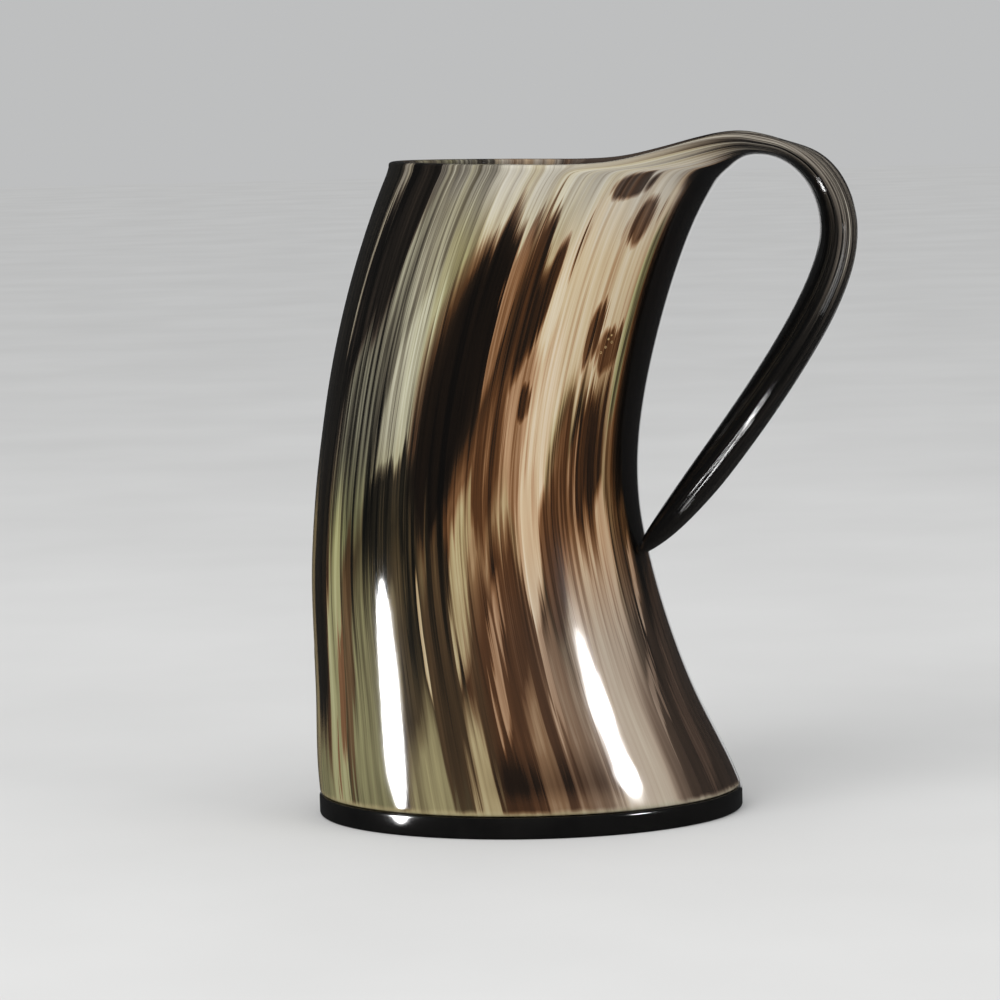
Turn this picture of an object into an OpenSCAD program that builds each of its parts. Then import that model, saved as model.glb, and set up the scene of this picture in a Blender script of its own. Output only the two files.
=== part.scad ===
// Drinking cup made from one natural horn: the tube stands on its wide end, and on the inside of
// its bend the wall runs on past the rim as a strap, bent over and led down to the body as handle.
// Origin: centre of the underside. +Z is up, and the handle leaves towards +X.

/* [Rim] */
// Height of the rim above the table, at the front
rim_h = 146; // [120:1:180]
// How much lower the rim lies where the handle leaves it
rim_drop = 2; // [0:0.5:5]
// Height of the polished round on the edges of the wall
lip_h = 1.2; // [0.6:0.1:1.6]

/* [Tube] */
// Length of the foot, from the front to the handle side
foot_l = 95; // [80:1:110]
// Depth of the foot, from side to side
foot_d = 74; // [62:1:90]
// Length of the tube at its waist
waist_l = 71; // [60:1:84]
// Depth of the tube at its waist
waist_d = 61; // [50:1:74]
// Length of the mouth
mouth_l = 76; // [66:1:88]
// Depth of the mouth
mouth_d = 63; // [54:1:76]
// How far the middle of the horn bows forward
bow = 11.5; // [6:0.5:16]
// How far the mouth lies back from the foot, towards the handle
mouth_shift = 10; // [5:0.5:14]
// Radius of the polished round under the foot
foot_round = 1; // [0.5:0.1:2]

/* [Wall] */
// Wall thickness at the foot
foot_wall = 4; // [3:0.1:6]
// Wall thickness at the rim
rim_wall = 3.2; // [2.6:0.1:4]

/* [Handle] */
// Width of the strap on its crest
crest_w = 27; // [20:1:34]
// Thickness of the strap on its crest, over its raised edges
crest_t = 4.3; // [4:0.1:8]
// Depth of the gutter along the top of the strap at its crest
gutter_h = 1.4; // [0.5:0.1:2.2]
// Width of the handle at its outer bend
grip_w = 17; // [12:1:24]
// Thickness of the handle where it is fattest
grip_t = 9; // [7:0.1:12]
// Width of the handle's tip
tip_w = 4; // [3:0.5:9]
// Thickness of the handle's tip
tip_t = 2.4; // [2:0.2:6]
// How far the underside of the crest stands out from the back of the rim
crest_out = 5.6; // [3:0.2:9]
// How high the underside of the crest rises over the back of the rim
crest_rise = 1.3; // [0.8:0.1:3]
// How far the inside of the loop stands out from the back of the rim
loop_out = 19; // [15:0.5:30]
// How far below the crest the loop stands out furthest
loop_drop = 16.3; // [12:0.5:24]
// Height of the tip above the table
tip_h = 60.4; // [45:0.2:75]
// How far to the side the tip lies on the body
tip_side = 9; // [0:0.5:12]
// Steepness of the handle where it comes down to the body, in degrees
tip_slope = 61; // [50:1:68]

/* [Base] */
// Thickness of the base plate
base_t = 4.8; // [3:0.1:8]
// How far the plate stands out past the foot
plate_out = 0.2; // [0:0.1:1]
// Size of the polished round on the plate's edges
plate_round = 0.7; // [0.3:0.1:1.2]
// Thickness of the plug let into the foot
plug_t = 7; // [4:0.5:12]
// Gap between the plug and the horn
plug_gap = 0.15; // [0.1:0.05:0.3]
// Height and width of the bead that seals the floor
seal_w = 3.5; // [2:0.1:5]
// Thickness of the glue between the handle's tip and the body
glue_t = 0.5; // [0.3:0.1:1]

/* [Hidden] */

// Counts of the facets: round the tube, in the strap's half width, across the polished edge
around = 48;
half_strap = 10;
lip_steps = 4;
tube_rows = 24;
// Rows of the strap up to its crest, on to the outer bend, and down to the tip
crest_rows = 10;
bend_rows = 12;
run_rows = 20;
strap_rows = crest_rows + bend_rows + run_rows;

// Form of the tube: places up the wall, as shares of its height
station_shares = [0, 0.06, 0.14, 0.24, 0.36, 0.48, 0.6, 0.72, 0.84, 0.92, 0.96, 1];
// How far the tube has moved back towards the mouth, as shares of mouth_shift
shift_shares = [0, 0.02, 0.03, 0.06, 0.08, 0.12, 0.23, 0.36, 0.51, 0.66, 0.78, 1];
// How far the tube keeps the foot's size over the waist's, and has the mouth's over the waist's
foot_shares = [1, 0.88, 0.64, 0.43, 0.24, 0.07, 0, 0, 0, 0, 0, 0];
mouth_shares = [0, 0, 0, 0, 0, 0, 0.03, 0.1, 0.2, 0.3, 0.45, 1];

// Form of the strap: places along it, of which the crest and the outer bend are the second and fourth
strap_shares = [0, 0.15, 0.3, 0.45, 0.6, 0.8, 0.9, 0.96, 1];
crest_share = strap_shares[1];
bend_share = strap_shares[3];
// Width between the crest's and the grip's, and thickness between the crest's and the grip's
narrow_shares = [0, 0.1, 0.62, 1, 1, 1, 1, 1, 1];
swell_shares = [0.1, 0, 0.62, 0.9, 1, 1, 1, 1, 1];
// How far the handle has thinned from the grip's size to the tip's
taper_shares = [0, 0, 0, 0, 0, 0.12, 0.38, 0.7, 1];
// Length of the curves' arms, as shares of the distances that they span
arm_share = 0.45;
bend_arm_share = 0.55;
run_arm_share = 0.24;
// Angle that the strap's root takes of the tube to each side, and the angle left at its neck
root_angle = 86;
neck_angle = 25;
// Share of the strap over which it narrows to its neck, and how fast it does so at first
neck_share = 0.2;
neck_power = 3.1;
// Shares of the strap over which its section tilts with the bend, and leaves the tube's arc
tilt_share = 0.165;
morph_share = 0.32;
// Angle of the section's skin to each side, which leaves room for the polished edge
skin_angle = 78;
// Last shares of the strap over which the handle twists to the wall, and its tip is cut to lie on it
twist_share = 0.5;
face_share = 0.12;
// Steps used to find directions along the wall
small_share = 0.01;
small_angle = 1;
// Rise of the foot's round, as shares of its radius
round_shares = [0, 0.3, 1];
// Height of the seal's middle facet, as a share of the bead
seal_share = 0.34;
// Facets round the drop of glue, and the share of its thickness that stays free on each face
drop_sides = 16;
drop_share = 0.1;

// Small vector and curve helpers
function unit(a) = a / norm(a);
function mixed(a, b, t) = a + (b - a) * t;
function eased(t) = let (c = min(max(t, 0), 1)) c * c * (3 - 2 * c);
function span(xs, t, i = 0) = i < len(xs) - 2 && t > xs[i + 1] ? span(xs, t, i + 1) : i;
function slope(xs, ys, i) =
    let (a = max(i - 1, 0), b = min(i + 1, len(xs) - 1))
    (ys[b] - ys[a]) / (xs[b] - xs[a]);
// Value of a table at one place, on a smooth curve through its points
function curve(xs, ys, t) =
    let (i = span(xs, t), w = xs[i + 1] - xs[i], u = (t - xs[i]) / w)
    (1 + 2 * u) * (1 - u) * (1 - u) * ys[i]
        + u * (1 - u) * (1 - u) * w * slope(xs, ys, i)
        + u * u * (3 - 2 * u) * ys[i + 1]
        - u * u * (1 - u) * w * slope(xs, ys, i + 1);
function bezier(p, t) =
    (1 - t) * (1 - t) * (1 - t) * p[0]
        + 3 * t * (1 - t) * (1 - t) * p[1]
        + 3 * t * t * (1 - t) * p[2]
        + t * t * t * p[3];

// The tube: centre, half length and half depth of its sections by height share v
function tube_x(v) = mouth_shift * curve(station_shares, shift_shares, v) - bow * sin(180 * v);
function sized(foot, waist, mouth, v) =
    (waist + (foot - waist) * curve(station_shares, foot_shares, v)
        + (mouth - waist) * curve(station_shares, mouth_shares, v)) / 2;
function tube_a(v) = sized(foot_l, waist_l, mouth_l, v);
function tube_b(v) = sized(foot_d, waist_d, mouth_d, v);
function wall_at(v) = mixed(foot_wall, rim_wall, v);
function rim_at(q) = rim_h - rim_drop * (1 + cos(q)) / 2 - lip_h;
function share_at(z, q) = (z - base_t) / (rim_at(q) - base_t);
// Point of an oval at angle q, moved in by a distance square to it
function oval(a, b, q, inset) =
    let (n = unit([cos(q) / a, sin(q) / b]))
    [a * cos(q) - inset * n[0], b * sin(q) - inset * n[1]];
// Point of the tube's outside at height share v and angle q, moved in by inset
function skin(v, q, inset = 0) =
    let (p = oval(tube_a(v), tube_b(v), q, inset))
    [tube_x(v) + p[0], p[1], mixed(base_t, rim_at(q), v)];
// How far the polished round under the foot draws the outside in
function foot_inset(h) = h < foot_round
    ? foot_round - sqrt(foot_round * foot_round - (foot_round - h) * (foot_round - h))
    : 0;

// Height shares of the tube's rows: the foot's round, then even steps
round_rows = [for (s = round_shares) s * foot_round / (rim_h - base_t)];
even_rows = [for (i = [1 : tube_rows]) i / tube_rows];
row_list = concat(round_rows, even_rows);
last_row = len(row_list) - 1;
// Angle of each of the tube's columns: the strap's columns share the root's angle evenly
function column_q(j) =
    let (c = j > around / 2 ? j - around : j, s = abs(c))
    sign(c) * (s <= half_strap
        ? s / half_strap * root_angle
        : root_angle + (s - half_strap) / (around / 2 - half_strap) * (180 - root_angle));
function outer_point(v, q) = skin(v, q, foot_inset(v * (rim_h - base_t)));
function inner_point(v, q) = skin(v, q, wall_at(v));

// The handle's path: the middle of the strap's face inside the loop, as points [x, z]
root = [skin(1, 0)[0], skin(1, 0)[2]];
below = [skin(0.98, 0)[0], skin(0.98, 0)[2]];
root_way = unit(root - below);
crest = root + [crest_out, crest_rise + lip_h];
bend = [root[0] + loop_out, crest[1] - loop_drop];
tip_q = -asin(tip_side / (waist_d / 2));
tip_v = share_at(tip_h, tip_q);
tip_foot = skin(tip_v, tip_q);
wall_up = unit(skin(tip_v + small_share, tip_q) - skin(tip_v - small_share, tip_q));
wall_along = unit(skin(tip_v, tip_q + small_angle) - skin(tip_v, tip_q - small_angle));
wall_out = unit(cross(wall_along, wall_up));
tip_seat = tip_foot + glue_t * wall_out;
tip = [tip_seat[0], tip_seat[2]];
tip_way = [cos(tip_slope), sin(tip_slope)];
root_arm = crest_out * arm_share;
bend_x_arm = (bend[0] - crest[0]) * bend_arm_share;
bend_z_arm = loop_drop * bend_arm_share;
run_arm = (bend[1] - tip[1]) * run_arm_share;
leg_1 = [root, root + root_way * root_arm, crest - [root_arm, 0], crest];
leg_2 = [crest, crest + [bend_x_arm, 0], bend + [0, bend_z_arm], bend];
leg_3 = [bend, bend - [0, run_arm], tip + tip_way * run_arm, tip];
function path(k) =
    k <= crest_rows ? bezier(leg_1, k / crest_rows)
    : k <= crest_rows + bend_rows ? bezier(leg_2, (k - crest_rows) / bend_rows)
    : bezier(leg_3, (k - crest_rows - bend_rows) / run_rows);
// Direction of the path, as an angle over +X, falling steadily below zero after the crest
path_step = 0.05;
function way(k) =
    let (d = path(min(k + path_step, strap_rows)) - path(max(k - path_step, 0)), a = atan2(d[1], d[0]))
    a > 90 ? a - 360 : a;

// The strap's section at row k: sizes, then the offset of one point of its skin
function row_share(k) =
    k <= crest_rows ? k / crest_rows * crest_share
    : k <= crest_rows + bend_rows ? mixed(crest_share, bend_share, (k - crest_rows) / bend_rows)
    : mixed(bend_share, 1, (k - crest_rows - bend_rows) / run_rows);
function strap_w(k) =
    let (f = row_share(k))
    mixed(mixed(crest_w, grip_w, curve(strap_shares, narrow_shares, f)), tip_w,
        curve(strap_shares, taper_shares, f));
function strap_t(k) =
    let (f = row_share(k))
    mixed(mixed(crest_t, grip_t, curve(strap_shares, swell_shares, f)), tip_t,
        curve(strap_shares, taper_shares, f));
function gutter(k) = gutter_h * (1 - eased((k - crest_rows) / bend_rows));
function reach_angle(k) =
    mixed(neck_angle, root_angle, pow(1 - min(row_share(k) / neck_share, 1), neck_power));
// Side 0 is the face inside the loop and side 1 the face that was the bore's
function arc_offset(k, u, side) =
    let (q = u * reach_angle(k), p = oval(tube_a(1), tube_b(1), q, side * rim_wall))
    [p[0] - tube_a(1), p[1]];
function own_offset(k, u, side) =
    let (
        q = u * skin_angle,
        t = strap_t(k) / 2,
        dip = side * gutter(k) * pow(cos(u * 90), 2)
    )
    [-t + (side == 0 ? 1 : -1) * t * cos(q) + dip, strap_w(k) / 2 * sin(q)];
function strap_offset(k, u, side) =
    let (m = eased(row_share(k) / morph_share))
    mixed(arc_offset(k, u, side), own_offset(k, u, side), m);
// Angle of the section over level: none at the root, and square to the path further on
function tilt(k) = (way(k) - 90) * eased(row_share(k) / tilt_share);
// How far row k has come into the last share of the rows
function late(k, share) = eased((row_share(k) - 1 + share) / share);
function strap_in(k) =
    let (a = tilt(k))
    unit(mixed([cos(a), 0, sin(a)], wall_up, late(k, face_share)));
function strap_across(k) = unit(mixed([0, 1, 0], wall_along, late(k, twist_share)));
function sideways(k) = tip_seat[1] * eased((k - crest_rows) / (strap_rows - crest_rows));
function strap_point(k, u, side) =
    let (p = path(k), o = strap_offset(k, u, side))
    [p[0], sideways(k), p[1]] + o[0] * strap_in(k) + o[1] * strap_across(k);

// All points of the horn, in five runs: outside, inside, the strap's two faces, the polished edge
strap_cols = 2 * half_strap + 1;
outside = [for (v = row_list) for (j = [0 : around - 1]) outer_point(v, column_q(j))];
inside = [for (v = row_list) for (j = [0 : around - 1]) inner_point(v, column_q(j))];
function strap_face(side) = [
    for (k = [1 : strap_rows])
        for (j = [-half_strap : half_strap])
            strap_point(k, j / half_strap, side)
];
strap_under = strap_face(0);
strap_over = strap_face(1);
face_size = len(outside);
strap_size = len(strap_under);
// Number of a point on side 0 or 1, in tube row i and column j, or in strap row k and column j
function tube_no(side, i, j) = side * face_size + i * around + (j + around) % around;
function strap_no(side, k, j) = k == 0
    ? tube_no(side, last_row, j)
    : 2 * face_size + side * strap_size + (k - 1) * strap_cols + j + half_strap;
skins = concat(outside, inside, strap_under, strap_over);

// The open edge of the wall, as one loop: round the rim, up one side of the strap and back
edge = concat(
    [for (j = [half_strap : around - half_strap]) [0, j]],
    [for (k = [1 : strap_rows]) [k, -half_strap]],
    [for (j = [1 - half_strap : half_strap - 1]) [strap_rows, j]],
    [for (k = [strap_rows : -1 : 1]) [k, half_strap]]
);
function edge_no(e, side) = strap_no(side, e[0], e[1]);
function edge_mid(e) = (skins[edge_no(e, 0)] + skins[edge_no(e, 1)]) / 2;
// Which way the edge is rounded outwards: up on the rim, sideways on the strap, on at the tip
function side_way(k, s) =
    unit(edge_mid([k, s * half_strap]) - edge_mid([k, s * (half_strap - 1)]));
function edge_way(e) =
    let (
        rim = abs(e[1]) >= half_strap ? 1 - eased(e[0] / crest_rows) : 0,
        end = e[0] == strap_rows ? 1 : 0,
        across = abs(e[1]) == half_strap || e[1] == around - half_strap ? 1 : 0,
        k = max(e[0], 1),
        s = e[1] > 0 && e[1] <= half_strap ? 1 : -1,
        w = way(strap_rows),
        up = [0, 0, 1],
        on = [cos(w), 0, sin(w)]
    )
    unit(rim * up + end * on + (e[0] > 0 ? across * side_way(k, s) : [0, 0, 0]));
function edge_h(e) =
    let (f = row_share(e[0]))
    f < morph_share ? mixed(lip_h, strap_w(e[0]) / 2 * (1 - sin(skin_angle)), eased(f / morph_share))
    : strap_w(e[0]) / 2 * (1 - sin(skin_angle));
function edge_point(e, s) =
    let (q = 180 * s / lip_steps, m = edge_mid(e))
    m + (skins[edge_no(e, 0)] - m) * cos(q) + edge_way(e) * edge_h(e) * sin(q);
lips = [for (e = edge) for (s = [1 : lip_steps - 1]) edge_point(e, s)];
lip_start = len(skins);
function lip_no(n, s) =
    let (m = n % len(edge))
    s == 0 ? edge_no(edge[m], 0)
    : s == lip_steps ? edge_no(edge[m], 1)
    : lip_start + m * (lip_steps - 1) + s - 1;

// Two triangles of one four-sided patch, with its corners in clockwise order from outside
function patch(a, b, c, d) = [[a, b, c], [a, c, d]];
function mirror_patch(a, b, c, d) = [[a, b, d], [b, c, d]];
function flipped(side, p) = side == 0 ? p : [for (t = p) [t[2], t[1], t[0]]];
horn_faces = concat(
    [
        for (side = [0, 1]) for (i = [0 : last_row - 1]) for (j = [0 : around - 1])
            each flipped(side, patch(tube_no(side, i, j), tube_no(side, i + 1, j),
                tube_no(side, i + 1, j + 1), tube_no(side, i, j + 1)))
    ],
    [
        for (j = [0 : around - 1])
            each patch(tube_no(0, 0, j), tube_no(0, 0, j + 1), tube_no(1, 0, j + 1), tube_no(1, 0, j))
    ],
    [
        for (side = [0, 1]) for (k = [0 : strap_rows - 1]) for (j = [-half_strap : half_strap - 1])
            let (
                a = strap_no(side, k, j),
                b = strap_no(side, k + 1, j),
                c = strap_no(side, k + 1, j + 1),
                d = strap_no(side, k, j + 1)
            )
            each flipped(side, j < 0 ? mirror_patch(a, b, c, d) : patch(a, b, c, d))
    ],
    [
        for (n = [0 : len(edge) - 1]) for (s = [0 : lip_steps - 1])
            each patch(lip_no(n, s), lip_no(n, s + 1), lip_no(n + 1, s + 1), lip_no(n + 1, s))
    ]
);

// A closed solid through a stack of rings of equal counts, the lowest first
module stacked(rings) {
    n = len(rings[0]);
    top = (len(rings) - 1) * n;
    polyhedron(
        [for (r = rings) each r],
        concat(
            [[for (j = [0 : n - 1]) j]],
            [
                for (i = [0 : len(rings) - 2]) for (j = [0 : n - 1])
                    each patch(i * n + j, i * n + n + j, i * n + n + (j + 1) % n, i * n + (j + 1) % n)
            ],
            [[for (j = [n - 1 : -1 : 0]) top + j]]
        )
    );
}
function oval_ring(a, b, z) = [for (j = [0 : around - 1]) [each oval(a, b, column_q(j), 0), z]];
// A ring just inside the bore at height z, drawn in by a gap
function bore_ring(z, gap) = [
    for (j = [0 : around - 1])
        let (q = column_q(j), v = share_at(z, q), p = skin(v, q, wall_at(v) + gap))
        [p[0], p[1], z]
];
floor_z = base_t + plug_t;
seal_z = floor_z + plug_gap;

// Tube and handle are one piece of horn, so they are one solid
module horn() {
    color([0.62, 0.55, 0.42])
        polyhedron(concat(skins, lips), horn_faces);
}

// A flat oval plate with both its edges rounded alike
module base_plate() {
    a = foot_l / 2 + plate_out;
    b = foot_d / 2 + plate_out;
    in_a = a - plate_round;
    in_b = b - plate_round;
    color([0.05, 0.05, 0.05])
        stacked([
            oval_ring(in_a, in_b, 0),
            oval_ring(a, b, plate_round),
            oval_ring(a, b, base_t - plate_round),
            oval_ring(in_a, in_b, base_t)
        ]);
}

// The plug stands on the plate and closes the tube's open foot
module floor_plug() {
    color([0.3, 0.2, 0.12])
        stacked([bore_ring(base_t, plug_gap), bore_ring(floor_z, plug_gap)]);
}

// The bead is a closed ring of four rows: out on the floor, up the wall, and a hollow face back
module floor_seal() {
    rows = [
        bore_ring(seal_z, plug_gap),
        bore_ring(seal_z + seal_w, plug_gap),
        bore_ring(seal_z + seal_w * seal_share, plug_gap + seal_w * seal_share),
        bore_ring(seal_z, plug_gap + seal_w)
    ];
    n = around;
    color([0.8, 0.72, 0.5])
        polyhedron(
            [for (r = rows) each r],
            [
                for (i = [0 : 3]) for (j = [0 : n - 1])
                    let (a = i * n, b = (i + 1) % 4 * n, c = (j + 1) % n)
                    each patch(a + j, b + j, b + c, a + c)
            ]
        );
}

// The glue is a flat oval drop between the tip's face and the wall, just clear of both
module tip_glue() {
    middle = tip_foot - tip_t / 2 * wall_up;
    function drop_ring(h) = [
        for (j = [0 : drop_sides - 1])
            let (q = 360 * j / drop_sides)
            middle + h * wall_out + tip_w / 2 * cos(q) * wall_along + tip_t / 2 * sin(q) * wall_up
    ];
    color([0.1, 0.09, 0.08])
        stacked([drop_ring(glue_t * drop_share), drop_ring(glue_t * (1 - drop_share))]);
}

horn();
base_plate();
floor_plug();
floor_seal();
tip_glue();
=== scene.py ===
"""Looks of the horn drinking cup: the horn wall with its bent-over handle, the plate, and the studio."""
import math
from collections import namedtuple
from types import SimpleNamespace

import bmesh
import bpy
from mathutils import Matrix, Vector


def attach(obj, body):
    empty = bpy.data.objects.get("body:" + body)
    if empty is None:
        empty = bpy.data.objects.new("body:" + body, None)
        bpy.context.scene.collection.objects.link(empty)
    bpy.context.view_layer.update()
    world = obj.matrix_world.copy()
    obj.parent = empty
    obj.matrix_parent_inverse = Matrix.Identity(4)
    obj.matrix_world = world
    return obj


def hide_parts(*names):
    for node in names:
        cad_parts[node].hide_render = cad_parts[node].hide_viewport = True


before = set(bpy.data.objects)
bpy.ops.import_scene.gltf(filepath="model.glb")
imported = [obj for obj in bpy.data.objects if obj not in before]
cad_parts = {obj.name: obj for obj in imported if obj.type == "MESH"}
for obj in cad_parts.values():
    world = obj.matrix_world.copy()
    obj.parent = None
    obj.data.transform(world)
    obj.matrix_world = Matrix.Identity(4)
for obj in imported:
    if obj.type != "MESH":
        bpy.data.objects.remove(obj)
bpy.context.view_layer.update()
MM = 0.001
DEGREE = math.pi / 180.0
QUARTER = math.pi / 2.0

# Sizes of the horn as the part has them, in millimetres, and tip_slope in degrees
HORN_SIZES = {
    "rim_h": 146.0, "rim_drop": 2.0, "lip_h": 1.2, "bow": 11.5, "mouth_shift": 10.0,
    "foot_l": 95.0, "foot_d": 74.0, "waist_l": 71.0, "waist_d": 61.0, "mouth_l": 76.0, "mouth_d": 63.0,
    "foot_wall": 4.0, "rim_wall": 3.2, "crest_w": 27.0, "crest_t": 4.3, "gutter_h": 1.4,
    "grip_w": 17.0, "grip_t": 9.0, "tip_w": 4.0, "tip_t": 2.4, "crest_out": 5.6, "crest_rise": 1.3,
    "loop_out": 19.0, "loop_drop": 16.3, "tip_h": 60.4, "tip_side": 9.0, "tip_slope": 61.0,
    "base_t": 4.8, "glue_t": 0.5,
}

# How far the plate stands out past the foot, the radius of its edges, and the flat strip beside them
PLATE_OUT = 0.15
PLATE_ROUND = 0.7
PLATE_FLAT = 0.6

# Shares of the strap's length at its crest and at its outer bend
CREST_SHARE = 0.15
BEND_SHARE = 0.45

# Degrees of the tube that the strap takes to each side at its root and past its neck, and how it narrows
ROOT_ANGLE = 86.0
NECK_ANGLE = 25.0
NECK_SHARE = 0.2
NECK_POWER = 3.1

# Shares over which the strap turns square to its path, and goes from the tube's arc to its own section
TILT_SHARE = 0.165
MORPH_SHARE = 0.32

# Degrees from the middle of the strap's rounded faces to its edges
SKIN_ANGLE = 78.0

# Last shares over which the strap turns its width and its face to the body
TWIST_SHARE = 0.5
FACE_SHARE = 0.12

# Arms of the three curves: to the crest, over to the bend and down to the tip
ARM_SHARE = 0.45
BEND_ARM_SHARE = 0.55
RUN_ARM_SHARE = 0.24

# Share over which the gutter on top of the crest runs out
GUTTER_FADE = 0.2


class Wire:
    """A socket of a node tree that can stand in a Python sum. Each sum adds the node that it needs."""

    def __init__(self, tree, socket):
        self.tree = tree
        self.socket = socket

    def sum_with(self, operation, first, second):
        kind = "ShaderNodeVectorMath" if is_vector(first) or is_vector(second) else "ShaderNodeMath"
        return add_node(self.tree, kind, {"operation": operation}, {0: first, 1: second})

    def __add__(self, other):
        return self.sum_with("ADD", self, other)

    def __radd__(self, other):
        return self.sum_with("ADD", other, self)

    def __sub__(self, other):
        return self.sum_with("SUBTRACT", self, other)

    def __rsub__(self, other):
        return self.sum_with("SUBTRACT", other, self)

    def __mul__(self, other):
        return self.sum_with("MULTIPLY", self, other)

    def __rmul__(self, other):
        return self.sum_with("MULTIPLY", other, self)

    def __truediv__(self, other):
        return self.sum_with("DIVIDE", self, other)

    def __rtruediv__(self, other):
        return self.sum_with("DIVIDE", other, self)

    def __pow__(self, other):
        return self.sum_with("POWER", self, other)


def is_vector(value):
    if isinstance(value, Wire):
        return value.socket.type in {"VECTOR", "RGBA"}
    return isinstance(value, (tuple, list, Vector))


def add_node(tree, kind, settings=None, inputs=None, out=0):
    """Adds one node: its settings first, then its sockets' values or links. Returns one of its outputs."""
    node = tree.nodes.new(kind)
    for name, value in (settings or {}).items():
        if name == "stops":
            set_stops(node.color_ramp, value)
        elif name == "points":
            set_points(node.mapping, value)
        else:
            setattr(node, name, value)
    for key, value in (inputs or {}).items():
        if isinstance(value, Wire):
            tree.links.new(value.socket, node.inputs[key])
        elif value is not None:
            socket = node.inputs[key]
            thrice = socket.type == "VECTOR" and isinstance(value, (int, float))
            socket.default_value = (value,) * 3 if thrice else value
    return Wire(tree, node.outputs[out])


def set_stops(ramp, stops):
    for place, colour in stops[2:]:
        ramp.elements.new(place)
    for element, (place, colour) in zip(ramp.elements, stops):
        element.position = place
        element.color = (*colour, 1.0)


def set_points(mapping, points):
    spots = mapping.curves[0].points
    for place, value in points[2:]:
        spots.new(place, value)
    for spot, (place, value) in zip(spots, points):
        spot.location = (place, value)
    mapping.update()


def wire_of(*values):
    return next((value for value in values if isinstance(value, Wire)), None)


def function_of(operation, plain=None):
    """A function that adds a Math node for a wire. Where plain is given, it works out numbers in Python."""
    def worked(*values):
        wire = wire_of(*values)
        if wire is None:
            return plain(*values)
        return add_node(wire.tree, "ShaderNodeMath", {"operation": operation}, dict(enumerate(values)))
    return worked


sine = function_of("SINE", math.sin)
cosine = function_of("COSINE", math.cos)
square_root = function_of("SQRT", math.sqrt)
arcsine = function_of("ARCSINE")
angle_of = function_of("ARCTAN2")
absolute = function_of("ABSOLUTE")
lesser = function_of("MINIMUM")
greater = function_of("MAXIMUM")
below = function_of("LESS_THAN")


def vector_of(x, y, z):
    return add_node(wire_of(x, y, z).tree, "ShaderNodeCombineXYZ", None, {0: x, 1: y, 2: z})


def part_of(vector, index):
    return add_node(vector.tree, "ShaderNodeSeparateXYZ", None, {0: vector}, index)


def across_of(first, second):
    """Cross product."""
    return add_node(first.tree, "ShaderNodeVectorMath", {"operation": "CROSS_PRODUCT"}, {0: first, 1: second})


def unit(vector):
    return add_node(vector.tree, "ShaderNodeVectorMath", {"operation": "NORMALIZE"}, {0: vector})


def mixed(first, second, share):
    return first + (second - first) * share


def held(value):
    """The value, kept between 0 and 1."""
    return lesser(greater(value, 0.0), 1.0)


def eased(value):
    share = held(value)
    return share * share * (3.0 - 2.0 * share)


class Table:
    """Given values at chosen places, joined by a smooth curve."""

    def __init__(self, places, values):
        self.points = list(zip(places, values))

    def __call__(self, place):
        if isinstance(place, Wire):
            return add_node(place.tree, "ShaderNodeFloatCurve", {"points": self.points}, {"Value": place})
        spots = self.points
        i = max(n for n in range(len(spots) - 1) if n == 0 or place > spots[n][0])
        width = spots[i + 1][0] - spots[i][0]
        u = (place - spots[i][0]) / width
        return ((1 + 2 * u) * (1 - u) ** 2 * spots[i][1] + u * (1 - u) ** 2 * width * self.slope(i)
                + u * u * (3 - 2 * u) * spots[i + 1][1] - u * u * (1 - u) * width * self.slope(i + 1))

    def slope(self, i):
        low = self.points[max(i - 1, 0)]
        high = self.points[min(i + 1, len(self.points) - 1)]
        return (high[1] - low[1]) / (high[0] - low[0])


# Over the tube's height: how far it has shifted to the mouth's side, and the shares of its foot and mouth
STATIONS = (0, 0.06, 0.14, 0.24, 0.36, 0.48, 0.6, 0.72, 0.84, 0.92, 0.96, 1)
SHIFT = Table(STATIONS, (0, 0.02, 0.03, 0.06, 0.08, 0.12, 0.23, 0.36, 0.51, 0.66, 0.78, 1))
FOOT = Table(STATIONS, (1, 0.88, 0.64, 0.43, 0.24, 0.07, 0, 0, 0, 0, 0, 0))
MOUTH = Table(STATIONS, (0, 0, 0, 0, 0, 0, 0.03, 0.1, 0.2, 0.3, 0.45, 1))

# Over the strap's length: how far it has narrowed, thickened and tapered to the tip
STRAP_PLACES = (0, 0.15, 0.3, 0.45, 0.6, 0.8, 0.9, 0.96, 1)
NARROW = Table(STRAP_PLACES, (0, 0.1, 0.62, 1, 1, 1, 1, 1, 1))
SWELL_PLACES = (0, 0.15, 0.2, 0.25, 0.3, 0.45, 0.6, 1)
SWELL = Table(SWELL_PLACES, (0.1, 0.08, 0.26, 0.42, 0.6, 0.9, 1, 1))
TAPER = Table(STRAP_PLACES, (0, 0, 0, 0, 0, 0.12, 0.38, 0.7, 1))


# The tube of the horn: v is the share of its height, q the angle round it in radians
def oval(a, b, q, inset):
    """Point of an oval at angle q, moved in by inset square to it."""
    c = cosine(q)
    s = sine(q)
    slant = square_root(c * c / (a * a) + s * s / (b * b))
    return a * c - inset * c / a / slant, b * s - inset * s / b / slant


def tube_x(z, v):
    return z.mouth_shift * SHIFT(v) - z.bow * sine(math.pi * v)


def tube_half(foot, waist, mouth, v):
    return (waist + (foot - waist) * FOOT(v) + (mouth - waist) * MOUTH(v)) / 2.0


def rim_at(z, q):
    return z.rim_h - z.rim_drop * (1.0 + cosine(q)) / 2.0 - z.lip_h


def skin(z, v, q, inset=0.0):
    """Point of the tube's outside, or of a skin that lies inset millimetres inside it."""
    half_l = tube_half(z.foot_l, z.waist_l, z.mouth_l, v)
    half_d = tube_half(z.foot_d, z.waist_d, z.mouth_d, v)
    x, y = oval(half_l, half_d, q, inset)
    return vector_of(tube_x(z, v) + x, y, mixed(z.base_t, rim_at(z, q), v))


def wall_at(z, v):
    return mixed(z.foot_wall, z.rim_wall, v)


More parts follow.
